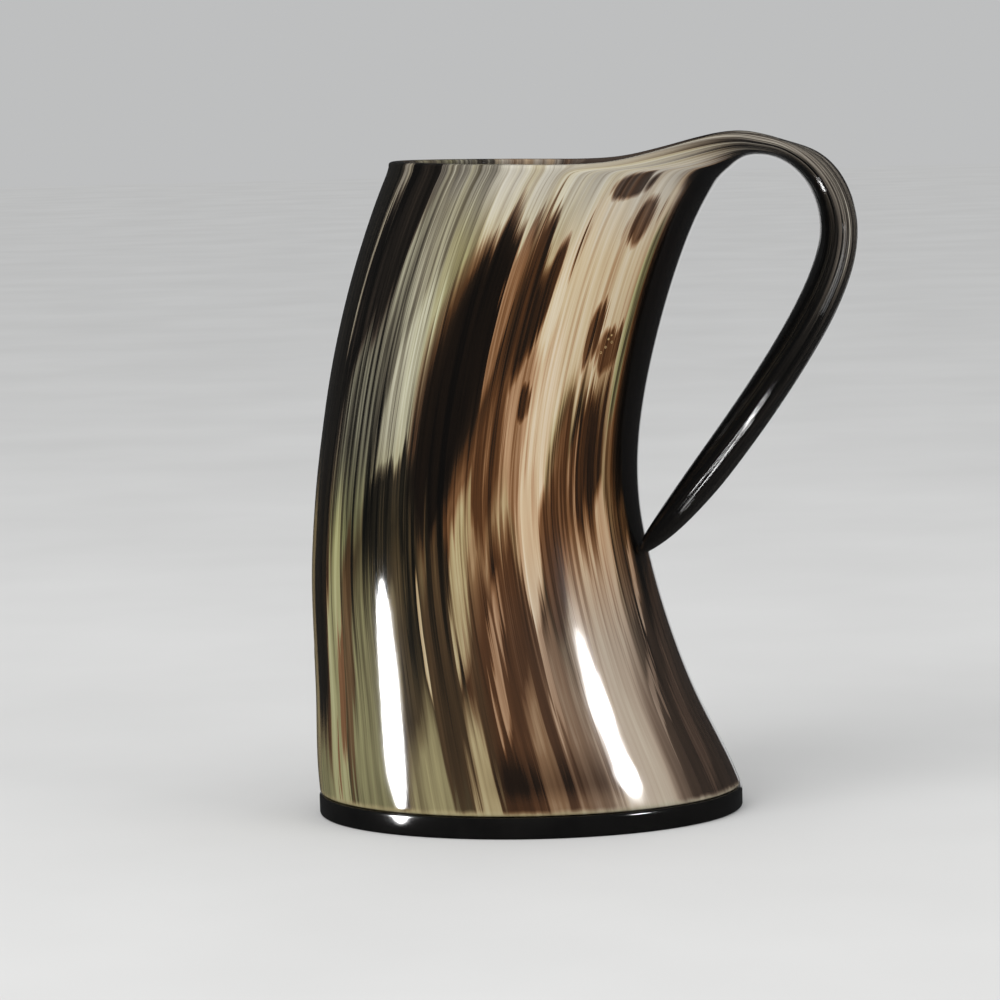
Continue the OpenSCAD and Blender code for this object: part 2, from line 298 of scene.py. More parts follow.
# The path of the strap: f is the share of its rows, u runs across it from -1 to 1
def bezier(points, t):
    a, b, c, d = points
    s = 1.0 - t
    return a * (s * s * s) + b * (3.0 * t * s * s) + c * (3.0 * t * t * s) + d * (t * t * t)


def bezier_way(points, t):
    """Direction of the curve at t, not yet of unit length."""
    a, b, c, d = points
    s = 1.0 - t
    return (b - a) * (s * s) + (c - b) * (2.0 * s * t) + (d - c) * (t * t)


def strap_route(z):
    """The three curves of the strap's path, and the body's directions where its tip is seated."""
    step = 0.01
    turn = DEGREE
    root = skin(z, 1.0, 0.0)
    root_way = unit(root - skin(z, 1.0 - 2.0 * step, 0.0))
    crest = root + vector_of(z.crest_out, 0.0, z.crest_rise + z.lip_h)
    bend = vector_of(part_of(root, 0) + z.loop_out, 0.0, part_of(crest, 2) - z.loop_drop)
    tip_q = arcsine(z.tip_side / (z.waist_d / 2.0)) * -1.0
    tip_v = (z.tip_h - z.base_t) / (rim_at(z, tip_q) - z.base_t)
    tip_foot = skin(z, tip_v, tip_q)
    up = unit(skin(z, tip_v + step, tip_q) - skin(z, tip_v - step, tip_q))
    along = unit(skin(z, tip_v, tip_q + turn) - skin(z, tip_v, tip_q - turn))
    out = unit(across_of(along, up))
    seat = tip_foot + out * z.glue_t
    tip = vector_of(part_of(seat, 0), 0.0, part_of(seat, 2))
    slope = z.tip_slope * DEGREE
    tip_way = vector_of(cosine(slope), 0.0, sine(slope))
    root_arm = z.crest_out * ARM_SHARE
    bend_x = (part_of(bend, 0) - part_of(crest, 0)) * BEND_ARM_SHARE
    run_arm = (part_of(bend, 2) - part_of(tip, 2)) * RUN_ARM_SHARE
    to_crest = (root, root + root_way * root_arm, crest - vector_of(root_arm, 0.0, 0.0), crest)
    to_bend = (crest, crest + vector_of(bend_x, 0.0, 0.0),
               bend + vector_of(0.0, 0.0, z.loop_drop * BEND_ARM_SHARE), bend)
    to_tip = (bend, bend - vector_of(0.0, 0.0, run_arm), tip + tip_way * run_arm, tip)
    legs = (to_crest, to_bend, to_tip)
    return SimpleNamespace(legs=legs, crest=crest, bend=bend, seat=seat, up=up, along=along)


def late(f, share):
    return eased((f - 1.0 + share) / share)


def strap_width(z, f):
    return mixed(mixed(z.crest_w, z.grip_w, NARROW(f)), z.tip_w, TAPER(f))


def strap_thickness(z, f):
    return mixed(mixed(z.crest_t, z.grip_t, SWELL(f)), z.tip_t, TAPER(f))


def strap_frame(route, f):
    """Middle of the strap's face inside the loop, and its directions inwards and across, at share f."""
    ends = ((0.0, CREST_SHARE), (CREST_SHARE, BEND_SHARE), (BEND_SHARE, 1.0))
    times = [held((f - start) / (end - start)) for start, end in ends]
    spots = [bezier(leg, t) for leg, t in zip(route.legs, times)]
    ways = [bezier_way(leg, t) for leg, t in zip(route.legs, times)]
    spot = spots[0] + (spots[1] - route.crest) + (spots[2] - route.bend)
    first = below(f, CREST_SHARE)
    second = below(f, BEND_SHARE) - first
    way = unit(ways[0]) * first + unit(ways[1]) * second + unit(ways[2]) * (1.0 - first - second)
    angle = angle_of(part_of(way, 2), part_of(way, 0))
    tilt = (angle - QUARTER) * eased(f / TILT_SHARE)
    inwards = unit(mixed(vector_of(cosine(tilt), 0.0, sine(tilt)), route.up, late(f, FACE_SHARE)))
    sideways = unit(mixed((0.0, 1.0, 0.0), route.along, late(f, TWIST_SHARE)))
    drift = part_of(route.seat, 1) * eased((f - CREST_SHARE) / (1.0 - CREST_SHARE))
    return spot + vector_of(0.0, drift, 0.0), inwards, sideways


def strap_offset(z, f, u, side):
    """Where the section's skin lies: side 0 is the face inside the loop, side 1 the one over it."""
    narrowing = (1.0 - lesser(f / NECK_SHARE, 1.0)) ** NECK_POWER
    reach = mixed(math.radians(NECK_ANGLE), math.radians(ROOT_ANGLE), narrowing)
    half_l = z.mouth_l / 2.0
    arc_x, arc_y = oval(half_l, z.mouth_d / 2.0, u * reach, z.rim_wall * side)
    q = u * math.radians(SKIN_ANGLE)
    half_t = strap_thickness(z, f) / 2.0
    hollow = cosine(u * QUARTER)
    gutter = z.gutter_h * (1.0 - eased((f - CREST_SHARE) / GUTTER_FADE))
    own_x = half_t * cosine(q) * (1.0 - 2.0 * side) - half_t + gutter * hollow * hollow * side
    own_y = strap_width(z, f) / 2.0 * sine(q)
    share = eased(f / MORPH_SHARE)
    return mixed(arc_x - half_l, own_x, share), mixed(arc_y, own_y, share)


def smooth_piece(name, mesh):
    piece = bpy.data.objects.new(name, mesh)
    bpy.context.scene.collection.objects.link(piece)
    mesh.polygons.foreach_set("use_smooth", [True] * len(mesh.polygons))
    mesh.update()
    return piece


# The flat pattern of the horn wall: its outline and its grid, before the tree gives it its form
AROUND = 64
HALF_STRAP = 14
TUBE_ROWS = (0.0, 0.006, 0.022) + tuple(0.05 + 0.0485 * n for n in range(20)) + (0.988, 1.0)
CREST_ROWS = 10
BEND_ROWS = 12
RUN_ROWS = 18
MARKS = ("angle", "height_share", "strap_share", "across", "lip")

# Length of the strap in heights of the tube, as the grain counts it
STRAP_LENGTHS = 1.1

# How near two points have to lie to become one, and how often the wall's quads are split in four
MERGE_WITHIN = 0.001 * MM
SMOOTHING_LEVEL = 2


def column_turns():
    """Angle of each column round the tube in degrees: the strap's columns share the root evenly."""
    half = AROUND // 2
    turns = []
    for j in range(AROUND):
        c = j - AROUND if j > half else j
        s = abs(c)
        wide = s / HALF_STRAP * ROOT_ANGLE
        rest = ROOT_ANGLE + (s - HALF_STRAP) / (half - HALF_STRAP) * (180.0 - ROOT_ANGLE)
        turns.append(math.copysign(wide if s <= HALF_STRAP else rest, c))
    return turns


def strap_places():
    up = [CREST_SHARE * n / CREST_ROWS for n in range(1, CREST_ROWS + 1)]
    over = [mixed(CREST_SHARE, BEND_SHARE, n / BEND_ROWS) for n in range(1, BEND_ROWS + 1)]
    down = [mixed(BEND_SHARE, 1.0, n / RUN_ROWS) for n in range(1, RUN_ROWS + 1)]
    return up + over + down


def wall_pattern():
    """Each point's angle q, height share v, strap share f, place u and lip, and the sheet's quads."""
    turns = column_turns()
    rows = strap_places()
    marks = []
    quads = []

    def mark(q, v, f, u, lip):
        marks.append((math.radians(q), v, f, u, lip))
        return len(marks) - 1

    tube = [[mark(q, v, 0.0, 0.0, 0.0) for q in turns] for v in TUBE_ROWS]
    rim = tube[-1]
    strap = [[rim[j] for j in range(-HALF_STRAP, HALF_STRAP + 1)]]
    for f in rows:
        strap.append([mark(j / HALF_STRAP * ROOT_ANGLE, 1.0, f, j / HALF_STRAP, 0.0)
                      for j in range(-HALF_STRAP, HALF_STRAP + 1)])
    for low, high in zip(tube, tube[1:]):
        for j in range(AROUND):
            k = (j + 1) % AROUND
            quads.append((low[j], low[k], high[k], high[j]))
    for low, high in zip(strap, strap[1:]):
        for j in range(2 * HALF_STRAP):
            quads.append((low[j], low[j + 1], high[j + 1], high[j]))
    edge = [row[0] for row in reversed(strap)]
    edge += [rim[-j] for j in range(HALF_STRAP + 1, AROUND - HALF_STRAP)]
    edge += [row[-1] for row in strap]
    lips = []
    for point in edge:
        q, v, f, u, lip = marks[point]
        lips.append(mark(math.degrees(q), v, f, math.copysign(1.0, q) if f > 0.0 else 0.0, 1.0))
    for n in range(len(edge) - 1):
        quads.append((edge[n + 1], edge[n], lips[n], lips[n + 1]))
    return marks, quads


def grain_place(mark):
    """Place along the grain: turns round the horn, and heights of the tube along it and the strap."""
    q, v, f, u, lip = mark
    return q / math.tau + 0.5, v + f * STRAP_LENGTHS


def pattern_mesh():
    marks, quads = wall_pattern()
    mesh = bpy.data.meshes.new("horn_wall")
    mesh.from_pydata([(mark[0], mark[1] + mark[2], 0.0) for mark in marks], [], quads)
    for index, name in enumerate(MARKS):
        layer = mesh.attributes.new(name, "FLOAT", "POINT")
        layer.data.foreach_set("value", [mark[index] for mark in marks])
    grain = mesh.uv_layers.new(name="grain")
    for face in mesh.polygons:
        places = [grain_place(marks[mesh.loops[i].vertex_index]) for i in face.loop_indices]
        wraps = max(place[0] for place in places) - min(place[0] for place in places) > 0.5
        for i, (turn, height) in zip(face.loop_indices, places):
            grain.data[i].uv = (turn + 1.0 if wraps and turn < 0.5 else turn, height)
    return mesh


def named_input(tree, name, default):
    """Adds a size to a tree's inputs, and returns the identifier by which a modifier sets it."""
    socket = tree.interface.new_socket(name.replace("_", " "), in_out="INPUT", socket_type="NodeSocketFloat")
    socket.default_value = default
    return socket.identifier


def two_skins(tree, flat, placed):
    """Lays the pattern to the outside, and a shell raised from it to the bore, turned to face inwards."""
    outside = add_node(tree, "GeometryNodeSetPosition", None, {"Geometry": flat, "Position": placed(0.0)})
    raised = tree.nodes.new("GeometryNodeExtrudeMesh")
    tree.links.new(outside.socket, raised.inputs["Mesh"])
    raised.inputs["Offset Scale"].default_value = 0.0
    raised.inputs["Individual"].default_value = False
    top = Wire(tree, raised.outputs["Top"])
    bore = add_node(tree, "GeometryNodeSetPosition", None, {
        "Geometry": Wire(tree, raised.outputs["Mesh"]), "Selection": top, "Position": placed(1.0)})
    bore = add_node(tree, "GeometryNodeStoreNamedAttribute", {"data_type": "FLOAT", "domain": "POINT"}, {
        "Geometry": bore, "Selection": top, "Name": "bore", "Value": 1.0})
    bore = add_node(tree, "GeometryNodeFlipFaces", None, {"Mesh": bore})
    both = tree.nodes.new("GeometryNodeJoinGeometry")
    tree.links.new(bore.socket, both.inputs[0])
    tree.links.new(outside.socket, both.inputs[0])
    return Wire(tree, both.outputs[0])


def horn_tree(material):
    """Bends the pattern to the horn's outside, lays the bore inside it, and joins the two as one wall."""
    tree = bpy.data.node_groups.new("horn_wall_form", "GeometryNodeTree")
    tree.interface.new_socket("Pattern", in_out="INPUT", socket_type="NodeSocketGeometry")
    tree.interface.new_socket("Wall", in_out="OUTPUT", socket_type="NodeSocketGeometry")
    names = {name: named_input(tree, name, value) for name, value in HORN_SIZES.items()}
    entry = tree.nodes.new("NodeGroupInput")
    sizes = SimpleNamespace(**{name: Wire(tree, entry.outputs[name.replace("_", " ")]) for name in names})

    def marked(name):
        return add_node(tree, "GeometryNodeInputNamedAttribute", {"data_type": "FLOAT"}, {"Name": name})

    q, v, f, u, lip = [marked(name) for name in MARKS]
    on_strap = below(0.0, f)
    spot, inwards, sideways = strap_frame(strap_route(sizes), f)
    lip_way = unit(mixed((0.0, 0.0, 1.0), sideways * u, eased(f / CREST_SHARE) * on_strap))
    own_lip = strap_width(sizes, f) / 2.0 * (1.0 - math.sin(math.radians(SKIN_ANGLE)))
    lip_size = mixed(sizes.lip_h, own_lip, eased(f / MORPH_SHARE)) * lip

    def placed(side):
        off_in, off_across = strap_offset(sizes, f, u, side)
        strap = spot + inwards * off_in + sideways * off_across
        tube = skin(sizes, v, q, wall_at(sizes, v) * side)
        return (mixed(tube, strap, on_strap) + lip_way * lip_size) * MM

    wall = two_skins(tree, Wire(tree, entry.outputs["Pattern"]), placed)
    for kind, entrance, rest in (
            ("GeometryNodeMergeByDistance", "Geometry", {"Distance": MERGE_WITHIN}),
            ("GeometryNodeSubdivisionSurface", "Mesh", {"Level": SMOOTHING_LEVEL}),
            ("GeometryNodeSetShadeSmooth", "Geometry", {"Shade Smooth": True}),
            ("GeometryNodeRealizeInstances", "Geometry", {}),
            ("GeometryNodeSetMaterial", "Geometry", {"Material": material})):
        wall = add_node(tree, kind, None, {entrance: wall, **rest})
    exit_node = tree.nodes.new("NodeGroupOutput")
    tree.links.new(wall.socket, exit_node.inputs["Wall"])
    return tree, names


def formed(piece, tree, values):
    """Runs a tree on a piece, and leaves its result as a plain mesh."""
    modifier = piece.modifiers.new("form", "NODES")
    modifier.node_group = tree
    for identifier, value in values.items():
        modifier[identifier] = value
    graph = bpy.context.evaluated_depsgraph_get()
    mesh = bpy.data.meshes.new_from_object(piece.evaluated_get(graph), depsgraph=graph)
    piece.modifiers.remove(modifier)
    piece.data = mesh
    return piece


def horn_wall(material):
    piece = smooth_piece("horn_wall", pattern_mesh())
    tree, names = horn_tree(material)
    return formed(piece, tree, {names[name]: value for name, value in HORN_SIZES.items()})


def ring_stack(name, rings):
    """A closed solid through rings of points, given in millimetres and the lowest first."""
    mesh = bpy.data.meshes.new(name)
    form = bmesh.new()
    loops = [[form.verts.new(Vector(point) * MM) for point in ring] for ring in rings]
    count = len(rings[0])
    for low, high in zip(loops, loops[1:]):
        for j in range(count):
            k = (j + 1) % count
            form.faces.new((low[j], low[k], high[k], high[j]))
    form.faces.new(list(reversed(loops[0])))
    form.faces.new(loops[-1])
    bmesh.ops.recalc_face_normals(form, faces=form.faces)
    form.to_mesh(mesh)
    form.free()
    return smooth_piece(name, mesh)


PLATE_COLUMNS = 160
ROUND_STEPS = 5


def base_plate_piece(material):
    """The oval plate under the foot, its two edges rounded over in a few steps."""
    z = SimpleNamespace(**HORN_SIZES)
    half_l = z.foot_l / 2.0 + PLATE_OUT
    half_d = z.foot_d / 2.0 + PLATE_OUT
    turns = [math.tau * j / PLATE_COLUMNS for j in range(PLATE_COLUMNS)]

    def ring(inset, height):
        return [(*oval(half_l, half_d, turn, inset), height) for turn in turns]

    lower = []
    upper = []
    for step in range(ROUND_STEPS + 1):
        turn = QUARTER * step / ROUND_STEPS
        short_of_side = PLATE_ROUND * (1.0 - math.sin(turn))
        off_face = PLATE_ROUND * (1.0 - math.cos(turn))
        lower.append(ring(short_of_side, off_face))
        upper.append(ring(off_face, z.base_t - short_of_side))
    flat_in = PLATE_ROUND + PLATE_FLAT
    piece = ring_stack("base_plate_polished", [ring(flat_in, 0.0), *lower, *upper, ring(flat_in, z.base_t)])
    piece.data.materials.append(material)
    return piece


# What the materials are put together from, and the Texture Coordinate node's output for the object
COORDS_OBJECT = 3


def shader_tree(name):
    material = bpy.data.materials.new(name)
    material.use_nodes = True
    tree = material.node_tree
    tree.nodes.clear()
    return material, tree


def object_place(tree):
    """The point itself, in metres in the object's frame."""
    return add_node(tree, "ShaderNodeTexCoord", out=COORDS_OBJECT)


def principled(tree, **inputs):
    """The one shader of a material, with its sockets given by their names."""
    sockets = {name.replace("_", " "): value for name, value in inputs.items()}
    shader = add_node(tree, "ShaderNodeBsdfPrincipled", None, sockets)
    node = tree.nodes.new("ShaderNodeOutputMaterial")
    tree.links.new(shader.socket, node.inputs["Surface"])


def stretch(value, low, high, to_low=0.0, to_high=1.0, smooth=True):
    """Maps low..high to to_low..to_high, held at both ends."""
    kind = {"interpolation_type": "SMOOTHSTEP" if smooth else "LINEAR"}
    sockets = {0: value, 1: low, 2: high, 3: to_low, 4: to_high}
    return add_node(value.tree, "ShaderNodeMapRange", kind, sockets)


def scaled(value, factor, offset):
    """value * factor + offset in one node."""
    sockets = {0: value, 1: factor, 2: offset}
    return add_node(value.tree, "ShaderNodeMath", {"operation": "MULTIPLY_ADD"}, sockets)


def wrapped(degrees):
    """The same angle, between -180 and 180."""
    return add_node(degrees.tree, "ShaderNodeMath", {"operation": "WRAP"}, {0: degrees, 1: 180.0, 2: -180.0})


def swing(value, reach):
    """A noise, which runs from 0 to 1, made to swing over reach with its middle at 0."""
    return scaled(value, reach, -reach / 2.0)


def noise(place, scale=1.0, detail=2.0, roughness=0.5):
    return add_node(place.tree, "ShaderNodeTexNoise", None, {
        "Vector": place, "Scale": scale, "Detail": detail, "Roughness": roughness})


def cells(place, scale):
    """Distance from the nearest of many scattered points."""
    return add_node(place.tree, "ShaderNodeTexVoronoi", None, {"Vector": place, "Scale": scale})


def colour_mix(first, second, share):
    return add_node(share.tree, "ShaderNodeMix", {"data_type": "RGBA"}, {0: share, 6: first, 7: second}, 2)


def ramp(value, stops):
    return add_node(value.tree, "ShaderNodeValToRGB", {"stops": stops}, {0: value})


def bump(height, distance, strength):
    sockets = {"Strength": strength, "Distance": distance, "Height": height}
    return add_node(height.tree, "ShaderNodeBump", None, sockets)


def rgb(red, green, blue):
    """Scene-linear colour from one written in the usual 0 to 255 steps."""
    parts = [value / 255.0 for value in (red, green, blue)]
    return tuple(p / 12.92 if p <= 0.04045 else ((p + 0.055) / 1.055) ** 2.4 for p in parts)


# Tones of the horn from its darkest to its palest, in a warm, a green and a grey cast
WARM_TONES = (
    (0.0, rgb(11, 9, 8)), (0.14, rgb(33, 23, 16)), (0.3, rgb(80, 50, 28)), (0.45, rgb(126, 88, 57)),
    (0.6, rgb(176, 140, 106)), (0.78, rgb(204, 182, 150)), (1.0, rgb(224, 214, 196)),
)
GREEN_TONES = (
    (0.0, rgb(10, 10, 8)), (0.14, rgb(30, 29, 21)), (0.3, rgb(62, 59, 41)), (0.45, rgb(100, 98, 68)),
    (0.6, rgb(143, 143, 98)), (0.78, rgb(176, 177, 130)), (1.0, rgb(205, 206, 184)),
)
GREY_TONES = (
    (0.0, rgb(8, 8, 8)), (0.14, rgb(30, 28, 26)), (0.3, rgb(64, 60, 56)), (0.45, rgb(102, 97, 91)),
    (0.6, rgb(146, 141, 133)), (0.78, rgb(184, 179, 170)), (1.0, rgb(216, 213, 205)),
)

# Fields and streaks of the horn, with one painted soft reflection among them, painted in this order over
# its ground: angle round the horn at its low and its high end and half width in degrees, low and high end
# in heights of the tube, tone, and share of the green cast
Field = namedtuple("Field", "name low_turn high_turn half low high tone green")
HORN_FIELDS = (
    ("cream_field", -60, -52, 21, 0.62, 1.3, 0.8, 0.12),
    ("pale_top", -90, -84, 27, 0.9, 1.3, 0.78, 0.45),
    ("left_edge", -171, -171, 9.0, -0.4, 0.56, 0.56, 0.6),
    ("left_olive", -168, -168, 18, 0.48, 1.5, 0.13, 0.7),
    ("left_dark", -159, -152, 7.0, 0.08, 0.8, 0.09, 0.5),
    ("left_line", -152, -147, 1.5, 0.72, 1.06, 0.55, 0.6),
    ("left_black", -148, -138, 5.0, 0.68, 1.1, 0.02, 0.2),
    ("umber_left", -141, -130, 7.0, 0.72, 1.08, 0.13, 0.25),
    ("lime_left", -140, -136, 9.5, 0.38, 0.75, 0.48, 1.0),
    ("grey_green", -111, -118, 11, 0.77, 1.12, 0.56, 0.8),
    # painted reflection: a pale patch on the upper left that stands in for the soft reflection of a window
    # light in the gloss
    ("painted_soft_reflection", -121, -112, 7.0, 0.5, 0.82, 0.67, 0.85),
    ("moss_dark", -119, -117, 11, 0.36, 0.55, 0.17, 0.7),
    ("brown_field", -85, -84, 7.5, 0.44, 0.78, 0.34, 0.0),
    ("tan_field", -74, -73, 6.5, 0.46, 0.78, 0.6, 0.0),
    ("brown_shade", -103, -90, 13.5, 0.5, 0.93, 0.2, 0.1),
    ("black_band", -106, -92, 9.0, 0.4, 0.9, 0.05, 0.1),
    ("tan_streak", -87, -87, 2.2, 0.66, 0.93, 0.5, 0.0),
    ("dark_streak", -79, -81, 3.6, 0.68, 0.93, 0.2, 0.0),
    ("dark_streak_beside", -76, -71, 3.8, 0.72, 0.91, 0.22, 0.0),
    ("short_patch", -72, -72, 2.2, 0.62, 0.68, 0.3, 0.0),
    ("cream_streak", -66, -64, 4.2, 0.4, 0.76, 0.8, 0.0),
    ("rust_field", -56, -56, 4.8, 0.34, 0.63, 0.42, 0.0),
    ("rose_thread", -51.5, -51.5, 1.0, 0.36, 0.6, 0.66, 0.0),
    ("red_patch", -46, -46, 5.6, 0.36, 0.67, 0.19, 0.0),
    ("high_patch", -47, -45, 5.0, 0.885, 0.965, 0.34, 0.0),
    ("root_streaks", -60, -56, 7.0, 0.955, 1.0, 0.3, 0.0),
    ("fleck", -52, -51, 2.8, 0.7, 0.8, 0.34, 0.0),
    ("fleck_beside", -44, -44, 4.6, 0.69, 0.76, 0.33, 0.0),
    ("green_edge", -37, -36, 2.4, 0.6, 0.92, 0.6, 0.85),
    ("foot_green", -132, -128, 9.0, -0.4, 0.4, 0.52, 0.9),
    ("lime_foot", -160, -158, 9.0, -0.4, 0.13, 0.56, 0.9),
    ("lime_line", -151, -144, 3.4, -0.4, 0.5, 0.66, 0.9),
    ("umber_line", -141, -137, 1.9, 0.0, 0.44, 0.33, 0.35),
    ("rust_line", -145.5, -142.5, 1.0, 0.04, 0.3, 0.42, 0.0),
    ("olive_foot", -116, -109, 12, -0.4, 0.44, 0.3, 0.65),
    ("grey_line", -121, -116, 3.0, 0.1, 0.36, 0.46, 0.7),
    ("pale_foot", -116, -112, 7.0, -0.4, 0.13, 0.54, 0.75),
    ("smoke_foot", -103, -99, 5.0, 0.02, 0.44, 0.25, 0.45),
    ("butter_sliver", -108, -108, 1.6, 0.16, 0.36, 0.78, 0.3),
    ("foot_butter", -100, -96, 4.0, -0.4, 0.17, 0.6, 0.55),
    ("butter_streak", -96, -90, 3.0, 0.22, 0.5, 0.64, 0.5),
    ("rose_foot", -50, -48, 15, -0.4, 0.44, 0.66, 0.05),
    ("grey_foot", -73, -68, 8.0, -0.2, 0.32, 0.46, 0.1),
    ("brown_heart", -85, -80, 9.0, -0.2, 0.42, 0.28, 0.0),
    ("tan_line", -87, -82, 1.9, 0.12, 0.36, 0.54, 0.0),
    ("tan_foot", -80, -80, 3.0, -0.4, 0.16, 0.5, 0.15),
    ("cream_thread", -72, -69, 1.6, 0.1, 0.36, 0.56, 0.0),
    ("cream_line", -70, -68, 3.6, 0.3, 0.54, 0.74, 0.0),
    ("brown_line", -62, -61, 3.2, 0.3, 0.53, 0.32, 0.0),
    ("cream_gap", -40, -40, 3.2, 0.32, 0.5, 0.68, 0.0),
    ("dark_root", -90, -88, 4.2, -0.2, 0.13, 0.23, 0.0),
    ("black_side", 2, 2, 36, 0.3, 4.0, 0.02, 0.1),
    ("umber_side", -7, -5, 33, -0.4, 0.43, 0.22, 0.1),
    ("black_edge", -17, -19, 15, 0.37, 1.12, 0.02, 0.1),
    ("side_haze", -30, -27, 7.0, 0.3, 0.48, 0.36, 0.2),
    ("side_thread", -30, -26, 1.5, 0.26, 0.42, 0.6, 0.0),
    ("side_thread_low", -36, -32, 1.3, 0.06, 0.24, 0.46, 0.0),
    ("side_rust", -24, -20, 3.0, 0.02, 0.3, 0.32, 0.0),
    ("far_green", 60, 64, 14, -0.4, 1.3, 0.48, 0.8),
    ("far_brown", 86, 82, 10, -0.4, 0.84, 0.26, 0.0),
    ("far_cream", 108, 104, 12, 0.08, 1.3, 0.74, 0.2),
    ("far_black", 132, 124, 9.0, 0.18, 0.95, 0.04, 0.1),
    ("far_lime", 149, 145, 9.0, -0.4, 0.82, 0.56, 0.9),
    ("far_patch", 96, 95, 5.0, 0.52, 0.78, 0.28, 0.0),
    ("far_streak", 74, 76, 3.6, 0.16, 0.46, 0.18, 0.0),
    ("far_sliver", 113, 112, 1.8, 0.14, 0.38, 0.3, 0.2),
    ("far_shade", 141, 140, 4.0, 0.48, 0.86, 0.2, 0.5),
    ("back_sliver", 165, 163, 2.0, 0.28, 0.58, 0.7, 0.6),
    ("back_shade", 172, 172, 6.0, 0.5, 1.3, 0.24, 0.4),
)


# The small chips in the lacquer near the handle
PIT_CLUSTER = Field("pit_cluster", -45, -45, 2.6, 0.705, 0.765, 0.0, 0.0)
PIT_SCALE = 760.0
PIT_EDGE = (*rgb(222, 188, 132), 1.0)
DUST_SCALE = 130.0
PEEL_SCALE = 150.0

# Hundreds of degrees up to which the loop's side stays black, over the heights from 0.9 to 2.2
DARK_LOW = 0.9
DARK_SPAN = 1.3
DARK_UNDER = Table((0, 0.08, 0.2, 0.32, 0.45, 1), (0.36, 0.36, 0.4, 0.62, 0.68, 0.68))

# Angle past which a field can cross the seam at the back, and how far the bore's pattern is shifted
SEAM_ANGLE = 140
BORE_SHIFT = 0.16


def field_mask(degrees, height, ragging, field):
    """A long field with pointed ends, 1 inside it and 0 outside, that leans from its low to its high end."""
    lean = (field.high_turn - field.low_turn) / (field.high - field.low)
    beside = degrees - (field.low_turn - lean * field.low)
    if lean:
        beside = beside - height * lean
    if abs(field.low_turn) > SEAM_ANGLE:
        beside = wrapped(beside)
    across = beside * (1.0 / field.half)
    reach = (field.high - field.low) / 2.0
    ragged = height + ragging * min(1.0, reach * 6.0)
    along = scaled(ragged, 1.0 / reach, -(field.high + field.low) / 2.0 / reach)
    square = along * along
    blunt = min(0.6, reach * 3.0)
    return held(scaled(across * across + square * scaled(square, blunt, 1.0 - blunt), -1.25, 1.75))


def horn_readings(tree):
    """What the pattern reads at a point: where it lies along the grain, the noises there, and the zone."""
    uv = add_node(tree, "ShaderNodeUVMap", {"uv_map": "grain"})
    turn = part_of(uv, 0)
    height = part_of(uv, 1)
    round_x = cosine(turn * math.tau)
    round_y = sine(turn * math.tau)
    bore = add_node(tree, "ShaderNodeAttribute", {"attribute_name": "bore"}, out=2)

    def grain(turns, lengths, detail=2.0, roughness=0.5, shift=0.0):
        """Noise drawn out along the grain, with the bore's set apart from the outside's."""
        across = scaled(bore, turns * BORE_SHIFT, shift)
        place = vector_of(scaled(round_x, turns, across), round_y * turns, height * lengths)
        return noise(place, 1.0, detail, roughness)

    coarse = grain(11.0, 1.3, 3.0, 0.6, 5.0)
    fibres = grain(26.0, 1.6, 4.0, 0.6, 1.0)
    waver = swing(grain(1.2, 1.6, 2.0), 8.0) + swing(coarse, 12.0) + swing(fibres, 10.0)
    return SimpleNamespace(
        grain=grain, coarse=coarse, fibres=fibres, hairs=grain(90.0, 2.6, 3.0, 0.55, 4.0),
        height=height, bore=bore, degrees=(turn - 0.5) * 360.0 + waver,
        ragging=swing(coarse, 0.26) + swing(fibres, 0.22), on_strap=stretch(height, 1.0, 1.14),
        past_bend=stretch(height + swing(fibres, 0.4), 1.42, 1.72))


def painted_ground(horn):
    """Tone and green share of the tube: a mottled ground with the fields over it."""
    tone = stretch(horn.grain(3.2, 0.9, 4.0, 0.6, 2.0), 0.3, 0.7, 0.2, 0.62)
    green = stretch(horn.grain(2.0, 0.7, 1.0, 0.5, 7.0), 0.4, 0.6, 0.0, 0.9)
    for field in (Field(*row) for row in HORN_FIELDS):
        mask = field_mask(horn.degrees, horn.height, horn.ragging, field)
        tone = mixed(tone, field.tone, mask)
        green = mixed(green, field.green, mask)
    return tone, green


def strap_laid_over(horn, tone):
    """Adds the strap's tones: streaked over the crest, black on the loop's side and past the bend."""
    side_on = absolute(horn.degrees)
    neck = DARK_UNDER(scaled(horn.height, 1.0 / DARK_SPAN, -DARK_LOW / DARK_SPAN)) * 100.0
    under = stretch(side_on - neck, -5.0, 7.0, 1.0, 0.0) * stretch(horn.height, 0.96, 1.0)
    under = under * stretch(horn.bore, 0.25, 0.75, 1.0, 0.0)
    loop_face = stretch(side_on - neck, 0.0, 26.0, 0.08, 0.34)
    top_face = stretch(side_on, 20.0, 80.0, 0.38, 0.56)
    tone = mixed(tone, mixed(loop_face, top_face, horn.bore), horn.on_strap)
    tone = mixed(tone, 0.0, under)
    return mixed(tone, mixed(0.0, 0.07, horn.bore), horn.past_bend)


def veins(horn, tone, green):
    """Fibres, hairs, streaks, threads and clouds, weaker in the black and at the foot."""
    streaks = stretch(horn.grain(40.0, 1.5, 3.0, 0.6, 11.0), 0.46, 0.62)
    threads = stretch(horn.grain(58.0, 2.2, 3.0, 0.6, 14.0), 0.54, 0.68)
    clouds = swing(horn.grain(6.0, 2.2, 3.0, 0.55, 21.0), 0.5)
    fine = stretch(horn.height, 0.06, 0.4, 0.22, 1.0) * stretch(horn.height, 0.72, 0.98, 1.0, 0.6)
    veined = swing(horn.fibres, 0.66) + (swing(horn.hairs, 0.16) - streaks * 0.22 + threads * 0.13) * fine
    life = stretch(tone, 0.02, 0.3, 0.15, 1.0, smooth=False) * scaled(green, 0.7, 0.6)
    life = life * stretch(horn.height, 0.08, 0.5, 0.6, 1.0) * (1.0 + horn.on_strap * 1.7)
    return (veined + clouds) * life


